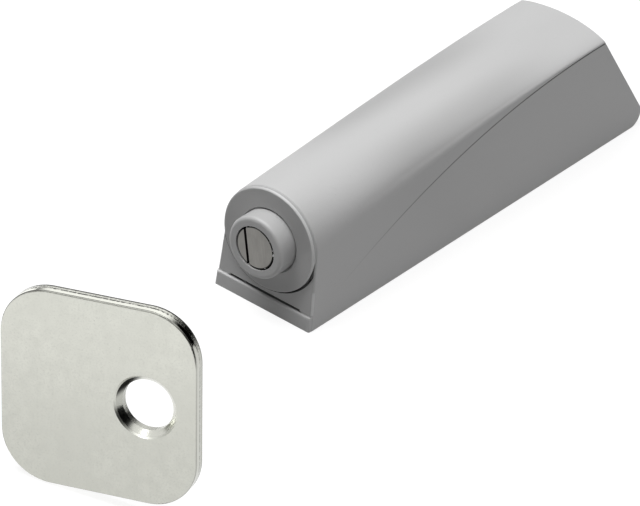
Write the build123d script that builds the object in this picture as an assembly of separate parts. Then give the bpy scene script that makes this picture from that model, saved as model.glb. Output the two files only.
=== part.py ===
"""Touch latch: a push-to-open spring cartridge with a magnet-tipped plunger in a
screw-on plastic housing, and the steel strike plate that goes on the door.

Millimetres, +Z up. The latch lies on its mounting face at Z = 0, the plunger points
along -Y, and the origin is midway between the two mounting screws. Every piece is
modelled from the housing's front face (Y = 0) and shifted when it is written.
"""

import os
from math import cos, radians, sin, tan

from build123d import *

# Housing, outside
BASE_WIDTH = 15.9
SIDE_DRAFT = 2.6  # degrees that each side leans inwards
AXIS_HEIGHT = 10.8  # cartridge axis above the mounting face
ROOF_TAIL = 12.5  # from the roof's rear edge back to the corner of the rear slope
ROOF_RISE = 0.2  # the crown is this much higher at the rear
ROOF_REAR_ARCH = 1.1  # height of the arched roof at its rear edge
ROOF_POWER = 0.86  # how early the round front flattens into the roof
CREASE_FRONT = 1.28  # height at which the crease leaves the front edge
CREASE_POWER = 2.14
LIP_HEIGHT = 0.06  # upright edge of the roof above the crease, at the rear
LIP_STEP = 0.05  # overhang of that edge over the flat side, at the rear
CREASE_DEPTH = 0.25  # groove along the crease, at the rear
CREASE_HEIGHT = 0.22
HAIRLINE = 0.02  # all three at the front, where the crease fades out
REAR_GAP = 1.2  # room between the cartridge and the rear wall
REAR_SLOPE = 36.5  # degrees between the rear face and a plumb line
REAR_BOW = 1.5  # the rear face is this much longer in its middle
REAR_FOOT_RADIUS = 1.85
NOSE_RADIUS = 0.3
ROOF_STATIONS = 8

# Housing, inside
WALL = 1.3
INNER_ARCH = 0.7  # height of the ceiling's arch at the rear
LIP_WALL = 0.25  # wall left around the end face
REBATE_DEPTH = 1.7
LEDGE_HEIGHT = 2.2
LEDGE_DEPTH = 1.0
LEDGE_ROUND = 0.25
LEDGE_INSET = 0.05  # the ends of the ledge lie this much inside the flat sides
RIB_THICKNESS = 1.2
COVER_RIB_PLACES = (24.0, 46.0)
FIT_GAP = 0.08  # between pieces that are fixed to each other
FACE_GAP = 0.03  # round the end face

# Base plate
FLOOR = 1.8
END_FACE_DEPTH = 0.35  # the end face and the shell stand back from the ledge this much
SLOT_LENGTH = 11.6
SLOT_HEIGHT = 0.3
RING_GAP = 0.29  # open groove in the end face, round the flange
RING_REACH = 0.6  # the groove runs this far under the flange
RING_DEPTH = 0.85
SADDLE_HEIGHT = 8.2
SADDLE_PLACE = 38.0
SADDLE_INSET = 2.5  # rear saddle, ahead of the sleeve's rear end
SCREW_PLACES = (20.0, 52.0)
SCREW_HOLE = 4.4
SCREW_HEAD = 8.4
SCREW_BOSS = 10.8
SCREW_BOSS_HEIGHT = 3.0
CLIP_PLACE = 31.0
CLIP_INSET = 12.0  # rear clips, ahead of the housing's rear end
CLIP_LENGTH = 5.0
CLIP_THICKNESS = 1.0
CLIP_BEAD = 0.45
CLIP_RIDGE_HEIGHT = 3.4  # underside of the ridge that the clips snap over
CLIP_RIDGE = 0.8

# Cartridge
SLEEVE_DIAMETER = 10.4
FLANGE_PROUD = 0.27  # how far the flange stands out from the ledge
FLANGE_EDGE = 0.05  # the flange is this much smaller in radius than the housing
FLANGE_ROUND = 0.26
PLUNGER_DIAMETER = 8.84
PLUNGER_PROUD = 3.07  # plunger face, out from the ledge
PLUNGER_ROUND = 0.55
SLIDE_GAP = 0.06  # running clearance in radius
MOUTH_EDGE = 0.2  # bevel at the mouth of the sleeve's bore
PRESS_TRAVEL = 2.0
PRESS_MARGIN = 0.5  # room left behind the plunger when it is pressed in
THROW_TRAVEL = 37.0
CAP_FLANGE = 1.2
CAP_PLUG = 4.5
CAP_STEM_DIAMETER = 3.2
CAP_STEM_LENGTH = 25.0

# Magnet in the plunger's face
RECESS_DIAMETER = 6.28
RECESS_DEPTH = 7.5
POLE_DEPTH = 6.0
POLE_SUNK = 0.12  # the pole plates lie this much behind the plunger's face
POLE_GAP = 0.04
POLE_EDGE = 0.1
STACK_GAP = 0.12  # gap round the pole plates
STACK_SHIFT = 0.07  # the stack sits this much to one side in its recess
MAGNET_THICKNESS = 2.45
MAGNET_SLOT = 0.36  # open slot on one side of the magnet
MAGNET_TURN = 14.0  # degrees that the stack has turned with the plunger
MAGNET_SUNK = 0.05  # magnet face behind the pole plates

# Spring, in the plunger's rear bore
SPRING_BORE = 5.4
SPRING_DIAMETER = 5.0
SPRING_WIRE = 0.5
SPRING_TURNS = 15
PARTITION = 2.0
HOLDER_SPIGOT = 2.4
HOLDER_HEAD = 3.1
HOLDER_HEAD_LENGTH = 0.8

# Cam track under the plunger, and the wire that runs in it
TRACK_WIDTH = 3.7
TRACK_DEPTH = 1.1
TRACK_MARGIN = 0.4
TRACK_END = 3.15  # plunger left behind the track
PIN_PLACE = 12.0  # tip of the wire
PIN_PIVOT = 30.0
PIN_WIRE = 0.9
PIN_DROP = 5.6  # long arm, below the cartridge axis
PIN_BEND = 0.7
PIN_FOOT_DROP = 7.9
PIN_REACH = 0.4  # how far the tip stands into the track
PIVOT_GAP = 0.05
HEART_HEIGHT = 0.5
HEART_LOBE = 0.65
HEART_SPREAD = 0.55  # from the middle to the centre of each lobe
HEART_LENGTH = 4.2
RETAINER_WIDTH = 6.4
RETAINER_DROP = 7.2  # heights of the retainer, below the cartridge axis
RETAINER_END = 1.3
POCKET_GAP = 0.3
POCKET_DROP = 6.35
PIVOT_BOSS = 3.2
PIVOT_BOSS_DROP = 8.4

# Strike plate, standing by itself in front of the plunger
PLATE_SIZE = 26.5
PLATE_THICKNESS = 1.8
PLATE_CORNER = 6.6
PLATE_HOLE = 6.9
PLATE_SINK = 8.6
PLATE_HOLE_OFFSET = 6.35
PLATE_EDGE = 0.2  # the front edge is rounded, the rear edge is left as it is cut
PLATE_PLACE = (10.26, -47.32)
PLATE_YAW = 14.4
PLATE_TIP = 8.0
PLATE_LEAN = 5.5

# Worked out from the above
BARREL_RADIUS = BASE_WIDTH / 2 - AXIS_HEIGHT * tan(radians(SIDE_DRAFT))
CROWN_FRONT = AXIS_HEIGHT + BARREL_RADIUS
CROWN_REAR = CROWN_FRONT + ROOF_RISE
SHOULDER_REAR = CROWN_REAR - ROOF_REAR_ARCH
CREASE_REAR = SHOULDER_REAR - LIP_HEIGHT
SLEEVE_RADIUS = SLEEVE_DIAMETER / 2
PLUNGER_RADIUS = PLUNGER_DIAMETER / 2
BORE_RADIUS = PLUNGER_RADIUS + SLIDE_GAP
FLANGE_RADIUS = BARREL_RADIUS - FLANGE_EDGE
FLANGE_BACK = END_FACE_DEPTH - FIT_GAP / 2
RECESS_BACK = RECESS_DEPTH - PLUNGER_PROUD
PARTITION_BACK = RECESS_BACK + PARTITION
TRACK_FLOOR = AXIS_HEIGHT - PLUNGER_RADIUS + TRACK_DEPTH
PIN_RADIUS = PIN_WIRE / 2
TRACK_FRONT = PIN_PLACE - PRESS_TRAVEL - PIN_RADIUS - TRACK_MARGIN
TRACK_REAR = PIN_PLACE + THROW_TRAVEL + PIN_RADIUS + TRACK_MARGIN
PLUNGER_REAR = TRACK_REAR + TRACK_END
SLEEVE_LENGTH = PLUNGER_REAR + PRESS_TRAVEL + PRESS_MARGIN + CAP_PLUG
SLOPE_RUN = tan(radians(REAR_SLOPE))
SLOPED_WALL = WALL / cos(radians(REAR_SLOPE))
CAP_TOP_RUN = (AXIS_HEIGHT + SLEEVE_RADIUS) * SLOPE_RUN
HOUSING_LENGTH = SLEEVE_LENGTH + CAP_FLANGE + REAR_GAP + SLOPED_WALL + CAP_TOP_RUN
ROOF_LENGTH = HOUSING_LENGTH - ROOF_TAIL  # to the rear edge of the roof
FOOT_TANGENT = HOUSING_LENGTH - REAR_FOOT_RADIUS / tan(radians((90 - REAR_SLOPE) / 2))
SADDLE_PLACES = (SADDLE_PLACE, SLEEVE_LENGTH - SADDLE_INSET)
CLIP_PLACES = (CLIP_PLACE, HOUSING_LENGTH - CLIP_INSET)
ORIGIN_Y = sum(SCREW_PLACES) / len(SCREW_PLACES)
CLEAR = 1.0  # how far cutting shapes reach past what they cut
TALL = CROWN_REAR + CLEAR
WIDE = BASE_WIDTH / 2 + CLEAR
SAME = 0.01  # places closer than this count as the same


def flank(height):
    """Half the housing's width at a height on the flat side."""
    return BASE_WIDTH / 2 - height * tan(radians(SIDE_DRAFT))


def roof_at(y):
    """Crown, shoulder and crease heights, and how far the crease has opened, 0 to 1."""
    run = min(max(y / ROOF_LENGTH, 0.0), 1.0)
    left = 1.0 - run
    crown = CROWN_REAR - ROOF_RISE * left**2
    shoulder = AXIS_HEIGHT + (SHOULDER_REAR - AXIS_HEIGHT) * sin(radians(90 * run)) ** ROOF_POWER
    crease = CREASE_REAR - (CREASE_REAR - CREASE_FRONT) * left**CREASE_POWER
    return crown, shoulder, crease, run


def arched_wire(y, corners, crown):
    """Closed wire across the housing: straight sides up through the corners, which are
    (half width, height) pairs, and half an ellipse from side to side over the top."""
    half_width, shoulder = corners[-1]
    right = [Vector(x, y, z) for x, z in corners]
    left = [Vector(-x, y, z) for x, z in reversed(corners)]
    level = Plane(origin=(0, y, shoulder), x_dir=(1, 0, 0), z_dir=(0, -1, 0))
    edges = [Edge.make_line(a, b) for a, b in zip(right, right[1:])]
    edges.append(Edge.make_ellipse(half_width, crown - shoulder, level, 0, 180))
    edges += [Edge.make_line(a, b) for a, b in zip(left, left[1:])]
    edges.append(Edge.make_line(left[-1], right[0]))
    return Wire(edges)


def outer_wire(y, inset=0.0):
    """Outline of the housing: flat sides, a groove along the crease, arched roof."""
    crown, shoulder, crease, run = roof_at(y)
    step, depth, height = [
        HAIRLINE + (size - HAIRLINE) * run for size in (LIP_STEP, CREASE_DEPTH, CREASE_HEIGHT)
    ]
    corners = [
        (flank(0) - inset, 0),
        (flank(crease - height) - inset, crease - height),
        (flank(crease) - depth - inset, crease),
        (flank(crease) + step - inset, crease),
        (flank(shoulder) + step - inset, shoulder),
    ]
    return arched_wire(y, corners, crown - inset)


def inner_wire(y, inset):
    """Outline of what lies inside the housing, a given distance in from its surface."""
    crown, shoulder, _, _ = roof_at(y)
    share = (CROWN_REAR - WALL - INNER_ARCH - AXIS_HEIGHT) / (SHOULDER_REAR - AXIS_HEIGHT)
    spring = AXIS_HEIGHT + (shoulder - AXIS_HEIGHT) * share
    corners = [(flank(0) - inset, 0), (flank(spring) - inset, spring)]
    return arched_wire(y, corners, crown - inset)


def stations():
    """Distances from the front at which the roof's outline is set."""
    return [ROOF_LENGTH * k / ROOF_STATIONS for k in range(ROOF_STATIONS + 1)]


def lengthwise(outline, start):
    """Loft an outline from a starting distance to the roof's rear edge, then straight on."""
    places = [start] + [y for y in stations() if y > start + NOSE_RADIUS]
    front = Solid.make_loft([outline(y) for y in places])
    rear = Solid.extrude(Face(outline(ROOF_LENGTH)), Vector(0, ROOF_TAIL + REAR_BOW + CLEAR, 0))
    return front + rear


def ahead_of_rear(end, bottom):
    """Everything ahead of the rear face, which slopes and is bowed in plan, and above a
    bottom height. The end is where the face's sides would meet the mounting face."""
    half = BASE_WIDTH / 2
    corner = end - bottom * SLOPE_RUN
    middle = corner + REAR_BOW
    wing = corner - REAR_BOW * ((WIDE / half) ** 2 - 1)
    bow = ThreePointArc((WIDE, wing), (0, middle), (-WIDE, wing))
    front = Polyline((-WIDE, wing), (-WIDE, -CLEAR), (WIDE, -CLEAR), (WIDE, wing))
    plan = Pos(0, 0, bottom) * make_face(Wire(front.edges() + bow.edges()))
    rise = TALL - bottom
    return Solid.extrude(plan.face(), Vector(0, -rise * SLOPE_RUN, rise))


def rear_outside():
    """Limits of the housing: level below, sloped and bowed behind, with a round foot."""
    whole = ahead_of_rear(HOUSING_LENGTH, 0)
    foot = whole.faces().sort_by(Axis.Z)[0].edges().sort_by(Axis.Y)[-1]
    return fillet(foot, REAR_FOOT_RADIUS)


def rear_inside(inset):
    """Limits of the space inside: parallel to the rear face, upright above its foot."""
    sloped = ahead_of_rear(HOUSING_LENGTH - inset / cos(radians(REAR_SLOPE)), -CLEAR)
    return sloped & slab(-CLEAR, FOOT_TANGENT - inset, -CLEAR, TALL)


def along_y(radius, start, end, height=AXIS_HEIGHT):
    """Round bar along Y, from one distance to another."""
    place = Plane(origin=(0, start, height), x_dir=(1, 0, 0), z_dir=(0, 1, 0))
    return extrude(place * Circle(radius), amount=end - start)


def block(x, y, z):
    """Box from its limits along each axis."""
    size = [b - a for a, b in (x, y, z)]
    return Pos(x[0], y[0], z[0]) * Box(*size, align=(Align.MIN, Align.MIN, Align.MIN))


def slab(y_start, y_end, z_start, z_end):
    """Slice across the whole width of the housing."""
    return block((-WIDE, WIDE), (y_start, y_end), (z_start, z_end))


def nose():
    """Rounded front edge of the shell, as rings that step out to the full outline."""
    rings = []
    for turn in (0, 30, 60, 90):
        y = END_FACE_DEPTH + NOSE_RADIUS * (1 - cos(radians(turn)))
        inset = NOSE_RADIUS * (1 - sin(radians(turn)))
        rings.append(outer_wire(y, inset))
    return Solid.make_loft(rings, ruled=True)


def housing_body():
    """The housing's outside as one solid block."""
    return (nose() + lengthwise(outer_wire, END_FACE_DEPTH + NOSE_RADIUS)) & rear_outside()


def room(inset):
    """Space inside the housing, a given distance in from its surface."""
    return lengthwise(lambda y: inner_wire(y, inset), -CLEAR) & rear_inside(inset)


def ledge_strip():
    """Strip across the front, below the end face, with round front edges."""
    low, high = [flank(height) - LEDGE_INSET for height in (0, LEDGE_HEIGHT)]
    corners = [(-low, 0), (low, 0), (high, LEDGE_HEIGHT), (-high, LEDGE_HEIGHT)]
    depth = END_FACE_DEPTH + NOSE_RADIUS + FIT_GAP
    strip = extrude(make_face(Plane.XZ * Polyline(*corners, close=True)), amount=-depth)
    front = strip.faces().sort_by(Axis.Y)[0].edges().sort_by(Axis.Z)
    return fillet(front[1:], LEDGE_ROUND)


def housing_cover(body):
    """Shell with a front ledge, a rebate for the end face, ribs and snap ridges."""
    ledge = slab(0, LEDGE_DEPTH, -CLEAR, LEDGE_HEIGHT)
    cover = body - (room(WALL) - ledge) + ledge_strip()
    rebate = Face(inner_wire(-CLEAR, LIP_WALL))
    rebate = Solid.extrude(rebate, Vector(0, CLEAR + REBATE_DEPTH, 0))
    cover -= rebate & slab(-CLEAR, REBATE_DEPTH, LEDGE_HEIGHT, TALL)
    seat = along_y(SLEEVE_RADIUS + FIT_GAP, 0, HOUSING_LENGTH)
    for place in COVER_RIB_PLACES:
        rib = body & slab(place, place + RIB_THICKNESS, AXIS_HEIGHT + CLEAR, TALL)
        cover += rib - seat
    for place in CLIP_PLACES:
        for side in (-1, 1):
            outside = flank(CLIP_RIDGE_HEIGHT) - WALL / 2
            inside = flank(CLIP_RIDGE_HEIGHT) - WALL - CLIP_BEAD
            cover += block(
                sorted((side * inside, side * outside)),
                (place, place + CLIP_LENGTH),
                (CLIP_RIDGE_HEIGHT, CLIP_RIDGE_HEIGHT + CLIP_RIDGE),
            )
    return cover


def clip(place, side):
    """Snap hook that stands on the base plate and grips a ridge of the cover."""
    face_out = flank(CLIP_RIDGE_HEIGHT) - WALL - CLIP_BEAD - FIT_GAP
    top = CLIP_RIDGE_HEIGHT + CLIP_RIDGE + FIT_GAP
    corners = [
        (face_out - CLIP_THICKNESS, FLOOR / 2),
        (face_out, FLOOR / 2),
        (face_out, top),
        (face_out + CLIP_BEAD, top),
        (face_out + CLIP_BEAD / 2, top + CLIP_RIDGE),
        (face_out - CLIP_THICKNESS, top + CLIP_RIDGE),
    ]
    place_plane = Plane(origin=(0, place, 0), x_dir=(side, 0, 0), z_dir=(0, -side, 0))
    face = make_face(place_plane * Polyline(*corners, close=True))
    return extrude(face, amount=CLIP_LENGTH, dir=(0, 1, 0))


def base_plate():
    """Floor with screw bosses, saddles for the sleeve, snap hooks and the end face."""
    inside = room(WALL + FIT_GAP)
    behind_ledge = LEDGE_DEPTH + FIT_GAP
    plate = inside & slab(behind_ledge, HOUSING_LENGTH, 0, FLOOR)

    end_outline = Face(inner_wire(END_FACE_DEPTH, LIP_WALL + FACE_GAP))
    end_depth = REBATE_DEPTH - FIT_GAP - END_FACE_DEPTH
    end_face = Solid.extrude(end_outline, Vector(0, end_depth, 0))
    end_face = end_face & slab(0, REBATE_DEPTH, LEDGE_HEIGHT + FACE_GAP, TALL)
    ring_floor = END_FACE_DEPTH + RING_DEPTH
    ring = along_y(FLANGE_RADIUS + RING_GAP, 0, ring_floor)
    end_face -= ring - along_y(FLANGE_RADIUS - RING_REACH, 0, ring_floor)
    half_slot = SLOT_LENGTH / 2
    slot_top = LEDGE_HEIGHT + SLOT_HEIGHT
    end_face -= block((-half_slot, half_slot), (0, REBATE_DEPTH / 2), (LEDGE_HEIGHT, slot_top))
    riser = inside & slab(behind_ledge, behind_ledge + 2 * RIB_THICKNESS, 0, SADDLE_HEIGHT)
    plate += end_face + riser

    for place in SADDLE_PLACES:
        plate += inside & slab(place, place + RIB_THICKNESS, 0, SADDLE_HEIGHT)
    plate -= along_y(SLEEVE_RADIUS + FIT_GAP, -CLEAR, HOUSING_LENGTH)

    for place in CLIP_PLACES:
        for side in (-1, 1):
            plate += clip(place, side)
    for place in SCREW_PLACES:
        plate += Pos(0, place, 0) * Cylinder(
            SCREW_BOSS / 2, SCREW_BOSS_HEIGHT, align=(Align.CENTER, Align.CENTER, Align.MIN)
        )
        sink = (SCREW_HEAD - SCREW_HOLE) / 2
        plate -= Pos(0, place, SCREW_BOSS_HEIGHT - sink) * Cone(
            SCREW_HOLE / 2, SCREW_HEAD / 2, sink, align=(Align.CENTER, Align.CENTER, Align.MIN)
        )
        plate -= Pos(0, place, 0) * Cylinder(SCREW_HOLE / 2, 2 * SCREW_BOSS_HEIGHT)
    return plate


def cartridge_sleeve():
    """Tube with the round flange in front and a slot below for the cam wire."""
    flange = along_y(FLANGE_RADIUS, -FLANGE_PROUD, FLANGE_BACK)
    front_edge = flange.edges().sort_by(Axis.Y)[0]
    flange = fillet(front_edge, FLANGE_ROUND)
    sleeve = flange + along_y(SLEEVE_RADIUS, 0, SLEEVE_LENGTH)
    sleeve -= along_y(BORE_RADIUS, -FLANGE_PROUD - CLEAR, SLEEVE_LENGTH + CLEAR)
    mouth = sleeve.edges().filter_by(GeomType.CIRCLE).filter_by(
        lambda edge: abs(edge.radius - BORE_RADIUS) < SAME
    )
    sleeve = chamfer(mouth.sort_by(Axis.Y)[0], MOUTH_EDGE)
    half = TRACK_WIDTH / 2
    slot_ends = (PIN_PLACE - PIN_WIRE - RETAINER_END, PIN_PIVOT + PIN_WIRE + RETAINER_END)
    return sleeve - block((-half, half), slot_ends, (0, AXIS_HEIGHT - BORE_RADIUS / 2))


def sleeve_end_cap():
    """Plug in the sleeve's rear end, with the stem that keeps the spring straight."""
    plug_front = SLEEVE_LENGTH - CAP_PLUG
    cap = along_y(SLEEVE_RADIUS, SLEEVE_LENGTH, SLEEVE_LENGTH + CAP_FLANGE)
    cap += along_y(BORE_RADIUS - FIT_GAP / 2, plug_front, SLEEVE_LENGTH + CAP_FLANGE / 2)
    cap += along_y(CAP_STEM_DIAMETER / 2, plug_front - CAP_STEM_LENGTH, plug_front + CLEAR)
    tip = cap.edges().sort_by(Axis.Y)[0]
    return fillet(tip, CAP_STEM_DIAMETER / 4)


def heart():
    """Heart-shaped island in the cam track, with its notch towards the wire's tip."""
    start = PIN_PLACE + PIN_RADIUS + HEART_LOBE
    lobes = [Pos(side * HEART_SPREAD, start) * Circle(HEART_LOBE) for side in (-1, 1)]
    reach = HEART_SPREAD + HEART_LOBE / 2 * 3**0.5  # half width of the lobes, half a radius back
    wide_part = start + HEART_LOBE / 2
    point = start + HEART_LENGTH
    tail = make_face(Polyline((-reach, wide_part), (reach, wide_part), (0, point), close=True))
    plan = lobes[0] + lobes[1] + tail
    return extrude(Plane.XY.offset(TRACK_FLOOR - HEART_HEIGHT) * plan, amount=2 * HEART_HEIGHT)


def plunger():
    """Round plunger: magnet recess in front, spring bore behind, cam track underneath."""
    bar = along_y(PLUNGER_RADIUS, -PLUNGER_PROUD, PLUNGER_REAR)
    front_edge = bar.edges().sort_by(Axis.Y)[0]
    bar = fillet(front_edge, PLUNGER_ROUND)
    bar -= along_y(RECESS_DIAMETER / 2, -PLUNGER_PROUD - CLEAR, RECESS_BACK)
    bar -= along_y(HOLDER_SPIGOT / 2 + FIT_GAP, RECESS_BACK - CLEAR, PARTITION_BACK + CLEAR)
    bar -= along_y(SPRING_BORE / 2, PARTITION_BACK, PLUNGER_REAR + CLEAR)
    half = TRACK_WIDTH / 2
    bar -= block((-half, half), (TRACK_FRONT, TRACK_REAR), (0, TRACK_FLOOR))
    return bar + heart()


def stack_place():
    """Place and turn of the magnet stack in the plunger."""
    return Pos(0, 0, AXIS_HEIGHT) * Rot(0, -MAGNET_TURN, 0) * Pos(-STACK_SHIFT, 0, 0)


def stack_bar():
    """Round bar, lying along Y, from which the pole plates and magnet are cut."""
    front = -PLUNGER_PROUD + POLE_SUNK
    bar = along_y(RECESS_DIAMETER / 2 - STACK_GAP, front, front + POLE_DEPTH, height=0)
    return chamfer(bar.edges().sort_by(Axis.Y)[0], POLE_EDGE)


def pole_plate(side):
    """Half-moon steel plate on one side of the magnet."""
    near = MAGNET_THICKNESS / 2 + (MAGNET_SLOT if side < 0 else POLE_GAP)
    limits = sorted((side * near, side * RECESS_DIAMETER))
    tall = RECESS_DIAMETER
    return stack_place() * (
        stack_bar() & block(limits, (-2 * PLUNGER_PROUD, POLE_DEPTH), (-tall, tall))
    )


def magnet():
    """Flat magnet block between the pole plates."""
    front = -PLUNGER_PROUD + POLE_SUNK
    half = MAGNET_THICKNESS / 2
    tall = RECESS_DIAMETER
    window = (front + MAGNET_SUNK, front + POLE_DEPTH)
    return stack_place() * (stack_bar() & block((-half, half), window, (-tall, tall)))


def magnet_holder():
    """Disc behind the magnet, with a spigot that snaps through the plunger's partition."""
    front = -PLUNGER_PROUD + POLE_SUNK + POLE_DEPTH + POLE_GAP
    holder = along_y(RECESS_DIAMETER / 2 - POLE_GAP, front, RECESS_BACK - POLE_GAP)
    holder += along_y(HOLDER_SPIGOT / 2, front, PARTITION_BACK + POLE_GAP)
    head_end = PARTITION_BACK + POLE_GAP + HOLDER_HEAD_LENGTH
    head = along_y(HOLDER_HEAD / 2, PARTITION_BACK + POLE_GAP, head_end)
    rim = head.edges().sort_by(Axis.Y)[-1]
    return holder + chamfer(rim, HOLDER_HEAD_LENGTH / 2)


def plunger_spring():
    """Compression spring between the partition and the end cap."""
    wire = SPRING_WIRE / 2
    start = PARTITION_BACK + wire + POLE_GAP
    end = SLEEVE_LENGTH - CAP_PLUG - wire - POLE_GAP
    coil = Helix(
        pitch=(end - start) / SPRING_TURNS,
        height=end - start,
        radius=SPRING_DIAMETER / 2 - wire,
        center=(0, start, AXIS_HEIGHT),
        direction=(0, 1, 0),
    )
    section = Plane(origin=coil @ 0, z_dir=coil % 0) * Circle(wire)
    return sweep(section, path=coil, is_frenet=True)


def follower_pin():
    """Bent wire: pivot leg behind, long arm, and the tip that stands in the cam track."""
    level = AXIS_HEIGHT - PIN_DROP
    tip_top = AXIS_HEIGHT - PLUNGER_RADIUS + PIN_REACH
    path = FilletPolyline(
        (0, PIN_PIVOT, AXIS_HEIGHT - PIN_FOOT_DROP),
        (0, PIN_PIVOT, level),
        (0, PIN_PLACE, level),
        (0, PIN_PLACE, tip_top),
        radius=PIN_BEND,
    )
    section = Plane(origin=path @ 0, z_dir=path % 0) * Circle(PIN_RADIUS)
    return sweep(section, path=path)


def pin_retainer():
    """Clip under the sleeve with the wire's pocket and its pivot hole."""
    half = RETAINER_WIDTH / 2
    pocket_half = TRACK_WIDTH / 2
    pocket = (PIN_PLACE - PIN_RADIUS - POCKET_GAP, PIN_PIVOT + PIN_RADIUS + POCKET_GAP)
    ends = (pocket[0] - RETAINER_END, pocket[1] + RETAINER_END)
    heights = (AXIS_HEIGHT - RETAINER_DROP, AXIS_HEIGHT - BORE_RADIUS)
    clip_body = block((-half, half), ends, heights)
    clip_body -= along_y(SLEEVE_RADIUS + FIT_GAP, 0, SLEEVE_LENGTH)
    pocket_floor = AXIS_HEIGHT - POCKET_DROP
    clip_body -= block((-pocket_half, pocket_half), pocket, (pocket_floor, AXIS_HEIGHT))
    clip_body += Pos(0, PIN_PIVOT, AXIS_HEIGHT - PIVOT_BOSS_DROP) * Cylinder(
        PIVOT_BOSS / 2,
        PIVOT_BOSS_DROP - POCKET_DROP,
        align=(Align.CENTER, Align.CENTER, Align.MIN),
    )
    hole_bottom = AXIS_HEIGHT - PIN_FOOT_DROP - 2 * PIVOT_GAP
    return clip_body - Pos(0, PIN_PIVOT, hole_bottom) * Cylinder(
        PIN_RADIUS + PIVOT_GAP,
        AXIS_HEIGHT,
        align=(Align.CENTER, Align.CENTER, Align.MIN),
    )


def strike_plate():
    """Square steel plate with round corners and one countersunk hole to the side."""
    outline = RectangleRounded(PLATE_SIZE, PLATE_SIZE, PLATE_CORNER)
    plate = extrude(Plane.XZ * outline, amount=-PLATE_THICKNESS)
    rims = plate.faces().sort_by(Axis.Y)
    plate = fillet(rims[0].edges(), PLATE_EDGE)
    hole = Plane(origin=(PLATE_HOLE_OFFSET, 0, 0), x_dir=(1, 0, 0), z_dir=(0, 1, 0))
    plate -= extrude(hole * Circle(PLATE_HOLE / 2), amount=2 * PLATE_THICKNESS, both=True)
    sink = (PLATE_SINK - PLATE_HOLE) / 2
    cone = loft([hole * Circle(PLATE_SINK / 2), hole.offset(sink) * Circle(PLATE_HOLE / 2)])
    plate -= cone
    tip = radians(PLATE_TIP)
    lean = radians(PLATE_LEAN)
    half = PLATE_SIZE / 2 - PLATE_CORNER
    upright_height = half * (cos(tip) + sin(tip)) + PLATE_CORNER
    height = upright_height * cos(lean) + PLATE_THICKNESS * sin(lean)
    turned = Rot(0, 0, PLATE_YAW) * Rot(-PLATE_LEAN, 0, 0) * Rot(0, -PLATE_TIP, 0)
    return Pos(*PLATE_PLACE, height) * turned * plate


def write(name, shape):
    """Shift a piece to the origin between the mounting screws and write its file."""
    placed = Pos(0, -ORIGIN_Y, 0) * shape
    placed.label = name
    export_step(placed, os.path.join("parts", name + ".step"))


def main():
    os.makedirs("parts", exist_ok=True)
    write("housing_cover", housing_cover(housing_body()))
    write("base_plate", base_plate())
    write("cartridge_sleeve", cartridge_sleeve())
    write("sleeve_end_cap", sleeve_end_cap())
    write("plunger", plunger())
    write("magnet", magnet())
    write("pole_plate_left", pole_plate(-1))
    write("pole_plate_right", pole_plate(1))
    write("magnet_holder", magnet_holder())
    write("plunger_spring", plunger_spring())
    write("follower_pin", follower_pin())
    write("pin_retainer", pin_retainer())
    write("strike_plate", strike_plate())


if __name__ == "__main__":
    main()
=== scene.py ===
"""Looks of a touch latch for cabinet doors: grey moulded housing with a magnet-tipped
spring plunger, and the nickel-plated strike plate that stands in front of it.

The model is in metres. The latch lies on Z = 0, its plunger points along -Y.
"""

from math import cos, radians, sin

import bmesh
import bpy
from mathutils import Matrix, Vector


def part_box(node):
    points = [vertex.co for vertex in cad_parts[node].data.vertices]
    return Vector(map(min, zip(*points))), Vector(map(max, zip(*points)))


bl_info = {
    "name": "Touch Latch",
    "version": (1, 0, 0),
    "blender": (4, 5, 0),
    "location": "View3D > Sidebar > Touch Latch",
    "description": "Finishes a touch latch and its strike plate and sets up the studio",
    "category": "Object",
}

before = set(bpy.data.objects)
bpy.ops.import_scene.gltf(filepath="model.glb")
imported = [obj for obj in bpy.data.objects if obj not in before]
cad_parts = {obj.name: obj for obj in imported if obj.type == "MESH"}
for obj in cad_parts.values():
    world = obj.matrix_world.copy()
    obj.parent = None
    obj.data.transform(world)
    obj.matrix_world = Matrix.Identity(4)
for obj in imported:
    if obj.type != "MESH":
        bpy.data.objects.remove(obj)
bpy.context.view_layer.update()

MM = 0.001

# Camera
PHOTO_WIDTH = 640
SENSOR = 36.0
CLIP = (0.01, 50.0)

# Studio
FLOOR_REACH = 6.0
FLOOR_FADE = (0.16, 0.7)
WHITE_SIDE = (-0.5, 0.0, 0.866)
SEEN_RAYS = ("Is Camera Ray", "Is Glossy Ray", "Is Transmission Ray")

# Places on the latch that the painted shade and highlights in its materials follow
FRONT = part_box("housing_cover")[0].y
PLUNGER_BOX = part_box("plunger")
PLUNGER_AXIS = (PLUNGER_BOX[0] + PLUNGER_BOX[1]) / 2
SLEEVE_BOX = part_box("cartridge_sleeve")
FLANGE_RADIUS = (SLEEVE_BOX[1].x - SLEEVE_BOX[0].x) / 2
GROOVE = 0.34 * MM
LEDGE_HEIGHT = 2.2 * MM
ROOF_LENGTH = 63.36 * MM
CREASE_FRONT = 1.28 * MM
CREASE_REAR = 17.15 * MM
CREASE_POWER = 2.14
STACK_RADIUS = 3.02 * MM
STACK_SHIFT = 0.07 * MM

# Strike plate: the middle of its front face, half its height and its countersunk hole
PLATE_CENTRE = Vector((10.26 * MM, -83.32 * MM, 14.22 * MM))
PLATE_HALF = 13.0 * MM
HOLE_OFFSET = 6.35 * MM
SINK_REACH = 4.6 * MM


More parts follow.
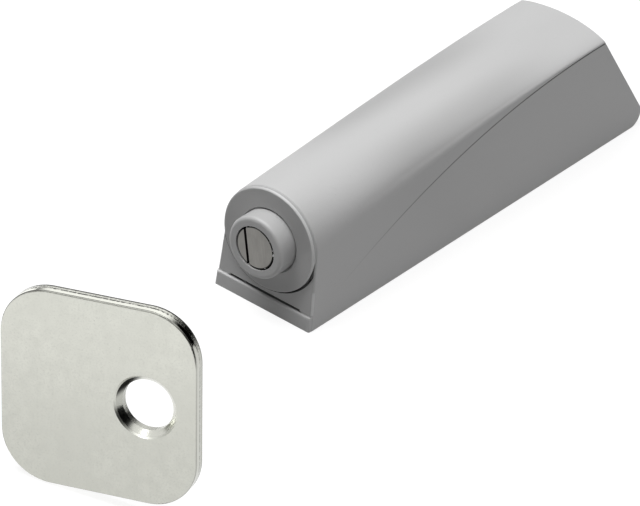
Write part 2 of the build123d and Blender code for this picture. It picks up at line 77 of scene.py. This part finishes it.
class Shade:
    """A socket in a node tree. Arithmetic on it adds Math nodes."""

    def __init__(self, tree, socket=None):
        self.tree = tree
        self.socket = socket

    def make(self, kind, inputs=None, out=0, **settings):
        """Add a node: its settings first, then the values or links of its sockets."""
        node = self.tree.nodes.new(kind)
        for name, value in settings.items():
            setattr(node, name, value)
        for name, value in (inputs or {}).items():
            if isinstance(value, Shade):
                self.tree.links.new(value.socket, node.inputs[name])
            else:
                node.inputs[name].default_value = value
        return Shade(self.tree, node.outputs[out])

    def sum(self, operation, first, second=0.0, clamp=False):
        """One Math node."""
        inputs = {0: first, 1: second}
        return self.make("ShaderNodeMath", inputs, operation=operation, use_clamp=clamp)

    def __add__(self, other):
        return self.sum("ADD", self, other)

    def __radd__(self, other):
        return self.sum("ADD", other, self)

    def __sub__(self, other):
        return self.sum("SUBTRACT", self, other)

    def __rsub__(self, other):
        return self.sum("SUBTRACT", other, self)

    def __mul__(self, other):
        return self.sum("MULTIPLY", self, other)

    def __rmul__(self, other):
        return self.sum("MULTIPLY", other, self)

    def __truediv__(self, other):
        return self.sum("DIVIDE", self, other)

    def __rtruediv__(self, other):
        return self.sum("DIVIDE", other, self)

    def __gt__(self, other):
        return self.sum("GREATER_THAN", self, other)

    def __lt__(self, other):
        return self.sum("LESS_THAN", self, other)

    def clamped(self):
        """The value held between 0 and 1."""
        return self.sum("ADD", self, 0.0, clamp=True)

    def between(self, low, high):
        """0 below low, 1 above high, and a smooth step from one to the other."""
        return self.make(
            "ShaderNodeMapRange",
            {"Value": self, "From Min": low, "From Max": high},
            interpolation_type="SMOOTHSTEP",
        )

    def mix(self, factor, first, second, blend="MIX"):
        """Two colours through a Mix node."""
        return self.make(
            "ShaderNodeMix",
            {0: factor, 6: first, 7: second},
            out=2,
            data_type="RGBA",
            blend_type=blend,
        )

    def points(self, centre=(0, 0, 0), turn=(0, 0, 0)):
        """Object coordinates, measured from a centre along turned axes."""
        place = self.make("ShaderNodeTexCoord", out="Object")
        inputs = {"Vector": place, "Location": centre, "Rotation": turn}
        return self.make("ShaderNodeMapping", inputs, vector_type="TEXTURE")

    def along(self, vector, axis):
        """How far a vector reaches along an axis."""
        return self.make(
            "ShaderNodeVectorMath", {0: vector, 1: axis}, out="Value", operation="DOT_PRODUCT"
        )

    def part_of(self, vector, axis):
        """One coordinate of a point."""
        return self.make("ShaderNodeSeparateXYZ", {"Vector": vector}, out=axis)

    def noise(self, vector, size, detail=2.0, roughness=0.5, stretch=None):
        """Noise whose features are about this many metres across, as a number."""
        if stretch:
            vector = self.make(
                "ShaderNodeVectorMath", {0: vector, 1: stretch}, operation="MULTIPLY"
            )
        return self.make(
            "ShaderNodeTexNoise",
            {"Vector": vector, "Scale": 1 / size, "Detail": detail, "Roughness": roughness},
        )

    def from_axis(self, vector, centre):
        """Distance from an axis along Y through a centre."""
        across = self.make("ShaderNodeVectorMath", {0: vector, 1: centre}, operation="SUBTRACT")
        flat = self.make(
            "ShaderNodeVectorMath", {0: across, 1: (1.0, 0.0, 1.0)}, operation="MULTIPLY"
        )
        return self.make("ShaderNodeVectorMath", {0: flat}, out="Value", operation="LENGTH")

    def bump(self, height, depth, under=None):
        """Bump of a depth in metres, laid over another."""
        inputs = {"Height": height, "Distance": depth, "Strength": 1.0}
        if under:
            inputs["Normal"] = under
        return self.make("ShaderNodeBump", inputs)

    def to_output(self, kind="ShaderNodeOutputMaterial"):
        """Make this shader the one that the tree shows."""
        output = self.tree.nodes.new(kind)
        self.tree.links.new(self.socket, output.inputs["Surface"])


def grey(level):
    """Grey as a colour."""
    return (level, level, level, 1.0)


def tinted(colour, share):
    """A colour made lighter or darker by a share."""
    return tuple(min(1.0, part * share) for part in colour[:3]) + (1.0,)


def empty_material(name):
    """A material without nodes."""
    material = bpy.data.materials.new(name)
    material.use_nodes = True
    material.node_tree.nodes.clear()
    return material, Shade(material.node_tree)


def finish_surface(shade, colour, roughness, skin, **fixed):
    """Principled shader with what varies over a surface, and its fixed values."""
    inputs = {"Base Color": colour, "Roughness": roughness, "Normal": skin, **fixed}
    shade.make("ShaderNodeBsdfPrincipled", inputs).to_output()


def flange_groove_shade(shade, points):
    """1 inside the open groove round the flange, where no light comes; the groove is painted
    dark there as shade.
    """
    reach = shade.from_axis(points, PLUNGER_AXIS)
    wider = 1 - shade.part_of(points, 0).between(-4.0 * MM, 2.0 * MM)
    outside = FLANGE_RADIUS + GROOVE + wider * 0.2 * MM
    ring = (reach > FLANGE_RADIUS - 0.03 * MM) * (reach < outside)
    depth = shade.part_of(points, 1)
    below = 1 - shade.part_of(points, 2).between(PLUNGER_AXIS.z - 1.0 * MM, PLUNGER_AXIS.z)
    return ring * (depth > FRONT + 0.03 * MM) * (depth < FRONT + 1.5 * MM) * below


def ledge_gap_shade(shade, points):
    """1 along the thin gap between the ledge and the end face, which is painted dark as shade.
    """
    depth = shade.part_of(points, 1)
    height = shade.part_of(points, 2)
    across = shade.sum("ABSOLUTE", shade.part_of(points, 0))
    behind = depth.between(FRONT + 0.25 * MM, FRONT + 0.31 * MM)
    low = (height < LEDGE_HEIGHT + 0.10 * MM) * (height > LEDGE_HEIGHT - 0.6 * MM)
    return behind * low * (1 - across.between(5.9 * MM, 6.3 * MM)) * (depth < FRONT + 1.2 * MM)


def ledge_painted_highlight(shade, points):
    """1 on the ledge's front, and more on its rounded top edge: a painted highlight."""
    front = 1 - shade.part_of(points, 1).between(FRONT + 0.10 * MM, FRONT + 0.24 * MM)
    height = shade.part_of(points, 2)
    top = height.between(LEDGE_HEIGHT - 0.5 * MM, LEDGE_HEIGHT - 0.2 * MM)
    return front * (height < LEDGE_HEIGHT + 0.05 * MM) * (0.45 + 0.55 * top)


def along_roof(shade, points):
    """0 at the housing's front, 1 from the roof's rear edge on."""
    return ((shade.part_of(points, 1) - FRONT) / ROOF_LENGTH).clamped()


def crease_shadow(shade, points):
    """Dark line along the crease between the roof and the flat side, fading to the front."""
    run = along_roof(shade, points)
    left = shade.sum("POWER", 1 - run, CREASE_POWER)
    crease = CREASE_REAR - (CREASE_REAR - CREASE_FRONT) * left
    off = shade.sum("ABSOLUTE", shade.part_of(points, 2) - crease)
    return (1 - off.between(0.07 * MM, 0.18 * MM)) * run.between(0.05, 0.5)


def rim_painted_highlight(shade, points):
    """1 on the rounded rim of the flange, towards its upper right: a painted highlight."""
    reach = shade.from_axis(points, PLUNGER_AXIS)
    rim = reach.between(FLANGE_RADIUS - 0.26 * MM, FLANGE_RADIUS - 0.14 * MM)
    front = shade.part_of(points, 1) < FRONT + 0.02 * MM
    side = shade.along(points, (0.8, 0.0, 0.6)) - 0.6 * PLUNGER_AXIS.z
    return rim * front * side.between(-2.0 * MM, 5.0 * MM)


def lip_painted_highlight(shade, points):
    """1 on the rounded lip beside the end face: a painted highlight that makes it look paler."""
    depth = shade.part_of(points, 1)
    height = shade.part_of(points, 2)
    lip = (depth > FRONT + 0.20 * MM) * (depth < FRONT + 0.62 * MM)
    above_ledge = height.between(LEDGE_HEIGHT + 0.1 * MM, LEDGE_HEIGHT + 0.4 * MM)
    return lip * above_ledge * (1 - height.between(5.6 * MM, 6.2 * MM))


def roof_painted_shade(shade, points):
    """Painted shade: a darker band along each shoulder of the roof, which is rounder in the
    photograph.
    """
    run = along_roof(shade, points)
    across = shade.sum("ABSOLUTE", shade.part_of(points, 0))
    band = across.between(0.5 * MM, 5.5 * MM) * (1 - across.between(6.7 * MM, 7.1 * MM))
    halfway = run.between(0.1, 0.4) * (1 - run.between(0.62, 0.92))
    return band * halfway * (shade.part_of(points, 2) > PLUNGER_AXIS.z)


def moulded_plastic(name, colour, roughness, grain, grain_depth, marks=()):
    """Moulded plastic with the fine grain of an eroded mould and faint flow marks. Each
    mark is a function that gives a mask, with its strength and the grey that it brings;
    the marks paint shade and highlights."""
    material, shade = empty_material(name)
    points = shade.points()
    fine = shade.noise(points, grain, detail=3.0, roughness=0.6)
    coarse = shade.noise(points, grain * 4, detail=2.0)
    flow = shade.noise(points, 9 * MM, detail=3.0, stretch=(1.0, 0.25, 1.0))
    specks = shade.noise(points, 0.28 * MM, detail=1.0)
    toned = shade.mix(flow.between(0.3, 0.7), tinted(colour, 0.985), tinted(colour, 1.015))
    toned = shade.mix(specks.between(0.68, 0.8), toned, tinted(colour, 0.93))
    # The marks lay painted shade and painted highlights as greys.
    for mark, strength, tone in marks:
        toned = shade.mix(mark(shade, points) * strength, toned, grey(tone))
    dull = roughness - 0.05 + 0.10 * flow + 0.05 * (fine - 0.5)
    skin = shade.bump(coarse, grain_depth * 1.5)
    skin = shade.bump(fine, grain_depth, under=skin)
    finish_surface(shade, toned, dull, skin)
    return material


def ground_steel(name, colour, roughness, centre, turn, line):
    """Ground and plated steel, with fine lines along one direction, a rim painted dark as
    shade and painted glints on its edge, where the recess round it catches the light."""
    material, shade = empty_material(name)
    points = shade.points(centre, turn)
    lines = shade.noise(points, line, detail=4.0, roughness=0.65, stretch=(1.0, 1.0, 0.03))
    broad = shade.noise(points, line * 5, detail=2.0, stretch=(1.0, 1.0, 0.08))
    stain = shade.noise(points, 1.2 * MM, detail=3.0)
    toned = shade.mix(lines.between(0.3, 0.7), tinted(colour, 0.9), tinted(colour, 1.1))
    toned = shade.mix(stain.between(0.4, 0.75) * 0.5, toned, tinted(colour, 0.85))
    reach = shade.from_axis(points, (-STACK_SHIFT, 0, 0))
    glints = shade.noise(points, 0.5 * MM, detail=1.0).between(0.60, 0.66)
    # Painted shade on the rim round the stack, and painted glints along its outer edge.
    rim = reach.between(STACK_RADIUS - 0.22 * MM, STACK_RADIUS - 0.14 * MM)
    edge = reach.between(STACK_RADIUS - 0.12 * MM, STACK_RADIUS - 0.08 * MM)
    toned = shade.mix(rim, toned, grey(0.01))
    toned = shade.mix(edge * glints, toned, grey(0.9))
    dull = roughness + 0.16 * (lines - 0.5) + 0.10 * (stain - 0.5)
    skin = shade.bump(broad, 6e-6)
    skin = shade.bump(lines, 4e-6, under=skin)
    finish_surface(shade, toned, dull, skin, Metallic=1.0)
    return material


def drawn_wire(name, colour):
    """Bright drawn wire, with faint bands of oil."""
    material, shade = empty_material(name)
    points = shade.points()
    bands = shade.noise(points, 0.15 * MM, detail=3.0)
    oil = shade.noise(points, 2.5 * MM, detail=2.0)
    toned = shade.mix(oil.between(0.35, 0.7), colour, tinted(colour, 0.78))
    dull = 0.24 + 0.12 * oil + 0.08 * bands
    finish_surface(shade, toned, dull, shade.bump(bands, 5e-6), Metallic=1.0)
    return material


def plated_plate(settings):
    """Nickel plating on punched steel: a mottled face and a two-tone sheared edge, with painted
    dark reflections on the edges and in the countersink, and painted shade low on the face.
    """
    material, shade = empty_material("strike_plate_nickel")
    turned = Matrix.Rotation(settings.yaw, 3, "Z") @ Matrix.Rotation(-settings.lean, 3, "X")
    turned = turned @ Matrix.Rotation(-settings.tip, 3, "Y")
    points = shade.points(PLATE_CENTRE, tuple(turned.to_euler("XYZ")))
    depth = shade.part_of(points, 1) / settings.thickness
    colour = tuple(settings.colour) + (1.0,)
    wall = depth.between(0.11, 0.15) * (1 - depth.between(0.98, 0.998))
    right = shade.part_of(points, 0).between(9.3 * MM, 10.7 * MM)
    sunk = shade.from_axis(points, (HOLE_OFFSET, 0, 0)) < SINK_REACH

    face, face_dull, face_skin = plate_face(shade, points, colour, settings.roughness)
    # Painted dark reflection along the front edge of the face, weaker on the right wall.
    crest_dark_reflection = depth.between(0.01, 0.03) * (1 - sunk)
    face = shade.mix(crest_dark_reflection * (0.95 - 0.6 * right), face, tinted(colour, 0.15))
    side, side_dull, side_skin = sheared_edge(shade, points, depth, colour)
    # Painted dark reflection on the plate's right wall.
    side = shade.mix(right * 0.8, side, tinted(colour, 0.55))
    side = countersink_painted_reflection(shade, points, sunk, side, colour)
    side_dull = side_dull + 0.10 * sunk

    toned = shade.mix(wall, face, side)
    dull = face_dull + wall * (side_dull - face_dull)
    mottle, rolled = face_skin
    skin = shade.bump(mottle, 3e-6)
    skin = shade.bump(rolled * (1 - wall), 1.2e-6, under=skin)
    skin = shade.bump(side_skin * wall, 2.5e-5, under=skin)
    finish_surface(shade, toned, dull, skin, Metallic=1.0)
    return material


def plate_face(shade, points, colour, roughness):
    """Colour and roughness of the plated face, and the two noises that its skin follows."""
    mottle = shade.noise(points, 1.9 * MM, detail=4.0, roughness=0.55)
    rolled = shade.noise(points, 0.22 * MM, detail=3.0, stretch=(0.12, 1.0, 1.0))
    grain = shade.noise(points, 0.3 * MM, detail=3.0, roughness=0.7)
    cloud = shade.noise(points, 8 * MM, detail=2.0)
    pits = shade.make("ShaderNodeTexVoronoi", {"Vector": points, "Scale": 1 / (0.9 * MM)})
    pitted = shade.noise(points, 3.1 * MM, detail=0.0).between(0.60, 0.64)
    pits = (1 - pits.between(0.05, 0.13)) * pitted
    height = shade.part_of(points, 2).between(-PLATE_HALF, PLATE_HALF)

    face = shade.mix(mottle.between(0.3, 0.7), tinted(colour, 0.95), tinted(colour, 1.04))
    face = shade.mix(grain.between(0.45, 0.8) * 0.7, face, tinted(colour, 0.76))
    face = shade.mix(cloud.between(0.4, 0.7) * 0.6, face, tinted(colour, 0.95))
    # Painted shade: the face darker towards the bottom.
    face = shade.mix(height, shade.mix(1.0, face, grey(0.83), "MULTIPLY"), face)
    face = shade.mix(pits * 0.45, face, tinted(colour, 0.55))
    dull = roughness + 0.10 * (mottle - 0.5) + 0.05 * (rolled - 0.5)
    return face, dull, (mottle, rolled)


def sheared_edge(shade, points, depth, colour):
    """Colour, roughness and skin of the punched edge: a bright rolled zone at the front,
    a dashed seam, a duller torn zone and a dark burr at the rear."""
    streaks = shade.noise(points, 0.16 * MM, detail=4.0, roughness=0.7, stretch=(1.0, 0.10, 1.0))
    torn = shade.noise(points, 0.35 * MM, detail=3.0, stretch=(1.0, 0.5, 1.0))
    place = depth + 0.10 * (torn - 0.5)
    fracture = place.between(0.46, 0.52)
    seam = fracture * (1 - place.between(0.60, 0.68))
    burr = place.between(0.80, 0.90)

    torn_tone = streaks.between(0.35, 0.65) * fracture
    side = shade.mix(torn_tone, tinted(colour, 1.4), tinted(colour, 0.9))
    side = shade.mix(seam * torn.between(0.35, 0.55), side, tinted(colour, 0.08))
    side = shade.mix(burr, side, tinted(colour, 0.08))
    dull = 0.08 + fracture * (0.04 + 0.12 * streaks)
    return side, dull, streaks * (0.3 + fracture)


def countersink_painted_reflection(shade, points, sunk, side, colour):
    """The wall's colour with painted dark reflections: greyer in the countersink, darker on
    its left and darkest on its upper left.
    """
    left = HOLE_OFFSET - shade.part_of(points, 0)
    upper_left = shade.along(points, (-0.707, 0, 0.707)) + 0.707 * HOLE_OFFSET
    side = shade.mix(sunk, side, tinted(colour, 0.92))
    side = shade.mix(sunk * left.between(1.6 * MM, 3.0 * MM), side, tinted(colour, 0.62))
    return shade.mix(sunk * upper_left.between(2.9 * MM, 3.7 * MM), side, tinted(colour, 0.02))


def floor_material(settings):
    """Pale floor that keeps the soft shadow and shows white to the camera and to metal."""
    material, shade = empty_material("floor_paper")
    points = shade.points()
    fibre = shade.noise(points, 1.5 * MM, detail=4.0)
    tone = shade.mix(fibre, grey(settings.floor_tone - 0.01), grey(settings.floor_tone + 0.01))
    paper = shade.make("ShaderNodeBsdfDiffuse", {"Color": tone})
    away = shade.make("ShaderNodeVectorMath", {0: points}, out="Value", operation="LENGTH")
    far = away.between(*FLOOR_FADE)
    camera, glossy, clear = seen_rays(shade)
    seen = (camera + glossy + clear).clamped()
    glow = shade.make(
        "ShaderNodeEmission",
        {"Strength": seen * (settings.floor_glow + (1 - settings.floor_glow) * far)},
    )
    shade.make("ShaderNodeAddShader", {0: paper, 1: glow}).to_output()
    return material


def seen_rays(shade):
    """1 for a ray from the camera, from a mirror-like surface and through a clear one."""
    path = shade.make("ShaderNodeLightPath").socket.node.outputs
    return [Shade(shade.tree, path[name]) for name in SEEN_RAYS]


def dress(material, *nodes):
    """Give CAD nodes a material through their slots."""
    for name in nodes:
        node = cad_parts[name]
        if not node.material_slots:
            node.data.materials.append(material)
        for place in node.material_slots:
            place.material = material


def softbox(name, place, target, size, power):
    """A square area lamp that faces a point."""
    lamp = bpy.data.lights.new(name, "AREA")
    lamp.shape = "SQUARE"
    lamp.size = size
    lamp.energy = power
    holder = bpy.data.objects.new(name, lamp)
    aim = (Vector(target) - Vector(place)).to_track_quat("-Z", "Y")
    holder.matrix_world = Matrix.Translation(place) @ aim.to_matrix().to_4x4()
    bpy.context.scene.collection.objects.link(holder)


class PlasticSettings(bpy.types.PropertyGroup):
    """Colours and grain of the moulded pieces."""

    housing_colour: bpy.props.FloatVectorProperty(
        name="Housing colour",
        description="Colour of the cover and the base plate",
        subtype="COLOR",
        size=3,
        min=0.0,
        max=1.0,
        default=(0.58, 0.58, 0.58),
    )
    sleeve_colour: bpy.props.FloatVectorProperty(
        name="Sleeve colour",
        description="Colour of the sleeve and its flange",
        subtype="COLOR",
        size=3,
        min=0.0,
        max=1.0,
        default=(0.455, 0.455, 0.455),
    )
    plunger_colour: bpy.props.FloatVectorProperty(
        name="Plunger colour",
        description="Colour of the plunger",
        subtype="COLOR",
        size=3,
        min=0.0,
        max=1.0,
        default=(0.54, 0.54, 0.54),
    )
    inner_colour: bpy.props.FloatVectorProperty(
        name="Inner colour",
        description="Colour of the plain pieces inside",
        subtype="COLOR",
        size=3,
        min=0.0,
        max=1.0,
        default=(0.78, 0.78, 0.75),
    )
    roughness: bpy.props.FloatProperty(
        name="Roughness",
        description="How matt the moulded pieces are",
        subtype="FACTOR",
        min=0.0,
        max=1.0,
        default=0.48,
    )
    grain: bpy.props.FloatProperty(
        name="Grain",
        description="Width of the mould's grain",
        unit="LENGTH",
        min=0.00002,
        default=0.00016,
    )


class MetalSettings(bpy.types.PropertyGroup):
    """Colours of the steel pieces in the cartridge."""

    pole_colour: bpy.props.FloatVectorProperty(
        name="Pole plate colour",
        description="Colour of the plates beside the magnet",
        subtype="COLOR",
        size=3,
        min=0.0,
        max=1.0,
        default=(0.20, 0.195, 0.184),
    )
    wire_colour: bpy.props.FloatVectorProperty(
        name="Wire colour",
        description="Colour of the spring and the cam wire",
        subtype="COLOR",
        size=3,
        min=0.0,
        max=1.0,
        default=(0.60, 0.60, 0.60),
    )
    line: bpy.props.FloatProperty(
        name="Grinding line",
        description="Width of the grinding lines",
        unit="LENGTH",
        min=0.00001,
        default=0.00007,
    )
    turn: bpy.props.FloatProperty(
        name="Turn of the magnet",
        description="How far the magnet and its plates have turned with the plunger",
        subtype="ANGLE",
        unit="ROTATION",
        default=radians(-14.0),
    )


class StrikeSettings(bpy.types.PropertyGroup):
    """Finish and place of the strike plate."""

    colour: bpy.props.FloatVectorProperty(
        name="Nickel colour",
        description="Colour of the plating",
        subtype="COLOR",
        size=3,
        min=0.0,
        max=1.0,
        default=(0.685, 0.69, 0.63),
    )
    roughness: bpy.props.FloatProperty(
        name="Roughness",
        description="How dull the plated face is",
        subtype="FACTOR",
        min=0.0,
        max=1.0,
        default=0.34,
    )
    thickness: bpy.props.FloatProperty(
        name="Thickness",
        description="Thickness of the plate, over which its edge changes tone",
        unit="LENGTH",
        default=0.0018,
    )
    tip: bpy.props.FloatProperty(
        name="Tip",
        description="How far the plate has rolled onto its lower corner",
        subtype="ANGLE",
        unit="ROTATION",
        default=radians(8.0),
    )
    yaw: bpy.props.FloatProperty(
        name="Yaw",
        description="How far the plate has turned away from the plunger",
        subtype="ANGLE",
        unit="ROTATION",
        default=radians(14.4),
    )
    lean: bpy.props.FloatProperty(
        name="Lean",
        description="How far the plate leans back",
        subtype="ANGLE",
        unit="ROTATION",
        default=radians(5.5),
    )


class StudioSettings(bpy.types.PropertyGroup):
    """Camera, lamps and floor."""

    azimuth: bpy.props.FloatProperty(
        name="Azimuth",
        description="Side from which the camera looks",
        subtype="ANGLE",
        unit="ROTATION",
        default=radians(34.2986),
    )
    elevation: bpy.props.FloatProperty(
        name="Elevation",
        description="How far the camera looks down",
        subtype="ANGLE",
        unit="ROTATION",
        default=radians(33.596),
    )
    roll: bpy.props.FloatProperty(
        name="Roll",
        description="Tilt of the picture",
        subtype="ANGLE",
        unit="ROTATION",
        default=radians(7.064),
    )
    distance: bpy.props.FloatProperty(
        name="Distance",
        description="Distance of the camera from what it looks at",
        unit="LENGTH",
        default=0.782319,
    )
    focal_pixels: bpy.props.FloatProperty(
        name="Focal length in pixels",
        description="Focal length on a picture 640 pixels wide",
        min=100.0,
        default=5994.0,
    )
    aim_right: bpy.props.FloatProperty(
        name="Aim to the right",
        description="Point looked at, to the right of the housing's front",
        unit="LENGTH",
        default=0.006711,
    )
    aim_up: bpy.props.FloatProperty(
        name="Aim upwards",
        description="Point looked at, above the housing's front",
        unit="LENGTH",
        default=0.008063,
    )
    key_power: bpy.props.FloatProperty(
        name="Top lamp",
        description="Power of the large softbox above",
        unit="POWER",
        min=0.0,
        default=2.65,
    )
    key_place: bpy.props.FloatVectorProperty(
        name="Place of the top lamp",
        description="Where the large softbox hangs",
        subtype="XYZ",
        unit="LENGTH",
        size=3,
        default=(-0.13, -0.11, 0.50),
    )
    key_size: bpy.props.FloatProperty(
        name="Size of the top lamp",
        description="Width of the large softbox",
        unit="LENGTH",
        min=0.01,
        default=0.36,
    )
    fill: bpy.props.FloatProperty(
        name="Fill",
        description="Strength of the light from all round",
        min=0.0,
        default=0.21,
    )
    fill_lean: bpy.props.FloatVectorProperty(
        name="Lean of the fill",
        description="How much more of the fill comes from each direction",
        size=3,
        default=(1.35, 1.0, 0.0),
    )
    dark_edge: bpy.props.FloatProperty(
        name="Dark edge",
        description="Where metal starts to show the lit side of the room",
        default=0.36,
    )
    white_edge: bpy.props.FloatProperty(
        name="White edge",
        description="Where metal shows the room as white",
        default=0.60,
    )
    dark_side: bpy.props.FloatProperty(
        name="Dark side",
        description="How bright metal shows the dark side of the room",
        subtype="FACTOR",
        min=0.0,
        max=1.0,
        default=0.0,
    )
    floor_tone: bpy.props.FloatProperty(
        name="Floor tone",
        description="How pale the floor is",
        subtype="FACTOR",
        min=0.0,
        max=1.0,
        default=0.24,
    )
    floor_glow: bpy.props.FloatProperty(
        name="Floor glow",
        description="White that the camera sees on the floor besides its lit tone",
        subtype="FACTOR",
        min=0.0,
        max=1.0,
        default=0.86,
    )


class LATCH_OT_stage(bpy.types.Operator):
    """Place the camera, the lamps, the floor and the white backdrop"""

    bl_idname = "latch.stage"
    bl_label = "Stage"

    def execute(self, context):
        settings = context.scene.latch_studio
        self.camera(context, settings)
        self.lamps(settings)
        self.floor(context, settings)
        self.backdrop(context, settings)
        context.scene.view_settings.view_transform = "Standard"
        return {"FINISHED"}

    def camera(self, context, settings):
        """Long lens that looks down on the latch from its front right."""
        a, e = settings.azimuth, settings.elevation
        right = Vector((cos(a), sin(a), 0))
        back = Vector((sin(a) * cos(e), -cos(a) * cos(e), sin(e)))
        up = back.cross(right)
        place = Vector((0, FRONT, 0)) + right * settings.aim_right + up * settings.aim_up
        place += back * settings.distance
        lens = bpy.data.cameras.new("camera")
        lens.sensor_width = SENSOR
        lens.lens = settings.focal_pixels * SENSOR / PHOTO_WIDTH
        lens.clip_start, lens.clip_end = CLIP
        camera = bpy.data.objects.new("camera", lens)
        axes = Matrix((right, up, back)).transposed().to_4x4()
        camera.matrix_world = (
            Matrix.Translation(place) @ axes @ Matrix.Rotation(settings.roll, 4, "Z")
        )
        context.scene.collection.objects.link(camera)
        context.scene.camera = camera

    def lamps(self, settings):
        """One large softbox above, a little in front of the latch and to its left."""
        size, power = settings.key_size, settings.key_power
        softbox("top_softbox", settings.key_place, (0, 0, 0), size, power)

    def floor(self, context, settings):
        """Wide pale floor."""
        mesh = bpy.data.meshes.new("floor")
        shape = bmesh.new()
        bmesh.ops.create_grid(shape, x_segments=2, y_segments=2, size=FLOOR_REACH)
        shape.to_mesh(mesh)
        shape.free()
        mesh.materials.append(floor_material(settings))
        floor = bpy.data.objects.new("floor", mesh)
        context.scene.collection.objects.link(floor)

    def backdrop(self, context, settings):
        """White for the camera, a soft fill for the rest, and for metal a room that is white
        above and on the left and dark on the right."""
        world = bpy.data.worlds.new("backdrop")
        world.use_nodes = True
        world.node_tree.nodes.clear()
        shade = Shade(world.node_tree)
        camera, glossy, clear = seen_rays(shade)
        direction = shade.make("ShaderNodeTexCoord", out="Object")
        lit = shade.along(direction, WHITE_SIDE)
        lit = lit.between(settings.dark_edge, settings.white_edge)
        soft = settings.fill * (1 + shade.along(direction, settings.fill_lean))
        mirrored = settings.dark_side + (1 - settings.dark_side) * lit
        rest = 1 - (camera + glossy + clear).clamped()
        strength = camera + clear + glossy * mirrored + rest * soft
        light = shade.make("ShaderNodeBackground", {"Color": grey(1.0), "Strength": strength})
        light.to_output("ShaderNodeOutputWorld")
        context.scene.world = world


class LATCH_OT_housing(bpy.types.Operator):
    """Finish the moulded cover and base plate of the housing. Their marks paint shade into small
    gaps, highlights onto edges and shade for the roof's rounding, which are finer than the model"""

    bl_idname = "latch.housing"
    bl_label = "Housing"

    def execute(self, context):
        settings = context.scene.latch_plastic
        colour = tuple(settings.housing_colour) + (1.0,)
        # Painted shade in the gap by the ledge and in the flange groove, painted highlights on
        # the ledge and the lip, painted shade on the roof's shoulders and along its crease.
        gap = (ledge_gap_shade, 0.75, 0.02)
        ledge = (ledge_painted_highlight, 0.36, 1.0)
        roof = ((roof_painted_shade, 0.22, 0.0), (crease_shadow, 0.65, 0.02))
        cover = (*roof, ledge, (lip_painted_highlight, 0.5, 1.0), gap)
        base = ((flange_groove_shade, 1.0, 0.01), ledge, gap)
        for name, marks in (("housing_cover", cover), ("base_plate", base)):
            matt = moulded_plastic(
                name + "_plastic", colour, settings.roughness, settings.grain, 6e-6, marks
            )
            dress(matt, name)
        return {"FINISHED"}


class LATCH_OT_cartridge(bpy.types.Operator):
    """Finish the round sleeve with its flange, and the plunger"""

    bl_idname = "latch.cartridge"
    bl_label = "Cartridge"

    def execute(self, context):
        settings = context.scene.latch_plastic
        # Painted shade in the groove round the flange and a painted highlight on its rim.
        sleeve_marks = ((flange_groove_shade, 1.0, 0.01), (rim_painted_highlight, 0.45, 1.0))
        looks = (
            ("cartridge_sleeve", settings.sleeve_colour, sleeve_marks),
            ("plunger", settings.plunger_colour, ()),
        )
        for name, tone, marks in looks:
            colour = tuple(tone) + (1.0,)
            dull = settings.roughness - 0.06
            satin = moulded_plastic(name + "_plastic", colour, dull, settings.grain, 4e-6, marks)
            dress(satin, name)
        return {"FINISHED"}


class LATCH_OT_magnet(bpy.types.Operator):
    """Finish the magnet and the steel plates beside it"""

    bl_idname = "latch.magnet"
    bl_label = "Magnet"

    def execute(self, context):
        settings = context.scene.latch_metal
        colour = tuple(settings.pole_colour) + (1.0,)
        centre = (PLUNGER_AXIS.x, 0, PLUNGER_AXIS.z)
        turn = (0, settings.turn, 0)
        plates = ground_steel("pole_plate_steel", colour, 0.36, centre, turn, settings.line)
        core = ground_steel(
            "magnet_plating", tinted(colour, 1.04), 0.34, centre, turn, settings.line * 0.8
        )
        dress(plates, "pole_plate_left", "pole_plate_right")
        dress(core, "magnet")
        return {"FINISHED"}


class LATCH_OT_mechanism(bpy.types.Operator):
    """Finish the spring, the cam wire and the plain pieces inside"""

    bl_idname = "latch.mechanism"
    bl_label = "Mechanism"

    def execute(self, context):
        plastic = context.scene.latch_plastic
        metal = context.scene.latch_metal
        plain = moulded_plastic(
            "inner_plastic", tuple(plastic.inner_colour) + (1.0,), 0.40, plastic.grain, 3e-6
        )
        wire = drawn_wire("spring_wire", tuple(metal.wire_colour) + (1.0,))
        dress(plain, "sleeve_end_cap", "pin_retainer", "magnet_holder")
        dress(wire, "plunger_spring", "follower_pin")
        return {"FINISHED"}


class LATCH_OT_strike_plate(bpy.types.Operator):
    """Finish the punched and plated strike plate"""

    bl_idname = "latch.strike_plate"
    bl_label = "Strike plate"

    def execute(self, context):
        dress(plated_plate(context.scene.latch_strike), "strike_plate")
        return {"FINISHED"}


STEPS = (
    LATCH_OT_stage,
    LATCH_OT_housing,
    LATCH_OT_cartridge,
    LATCH_OT_magnet,
    LATCH_OT_mechanism,
    LATCH_OT_strike_plate,
)
GROUPS = {
    "latch_plastic": PlasticSettings,
    "latch_metal": MetalSettings,
    "latch_strike": StrikeSettings,
    "latch_studio": StudioSettings,
}


class LATCH_PT_panel(bpy.types.Panel):
    """Steps and settings of the touch latch"""

    bl_idname = "LATCH_PT_panel"
    bl_label = "Touch Latch"
    bl_space_type = "VIEW_3D"
    bl_region_type = "UI"
    bl_category = "Touch Latch"

    def draw(self, context):
        for step in STEPS:
            self.layout.operator(step.bl_idname)
        for name, group in GROUPS.items():
            box = self.layout.box()
            settings = getattr(context.scene, name)
            for field in group.__annotations__:
                box.prop(settings, field)


CLASSES = (*GROUPS.values(), *STEPS, LATCH_PT_panel)


def register():
    for item in CLASSES:
        bpy.utils.register_class(item)
    for name, group in GROUPS.items():
        setattr(bpy.types.Scene, name, bpy.props.PointerProperty(type=group))


def unregister():
    for name in GROUPS:
        delattr(bpy.types.Scene, name)
    for item in reversed(CLASSES):
        bpy.utils.unregister_class(item)


def main():
    register()
    bpy.ops.latch.stage()
    bpy.ops.latch.housing()
    bpy.ops.latch.cartridge()
    bpy.ops.latch.magnet()
    bpy.ops.latch.mechanism()
    bpy.ops.latch.strike_plate()


if __name__ == "__main__":
    main()
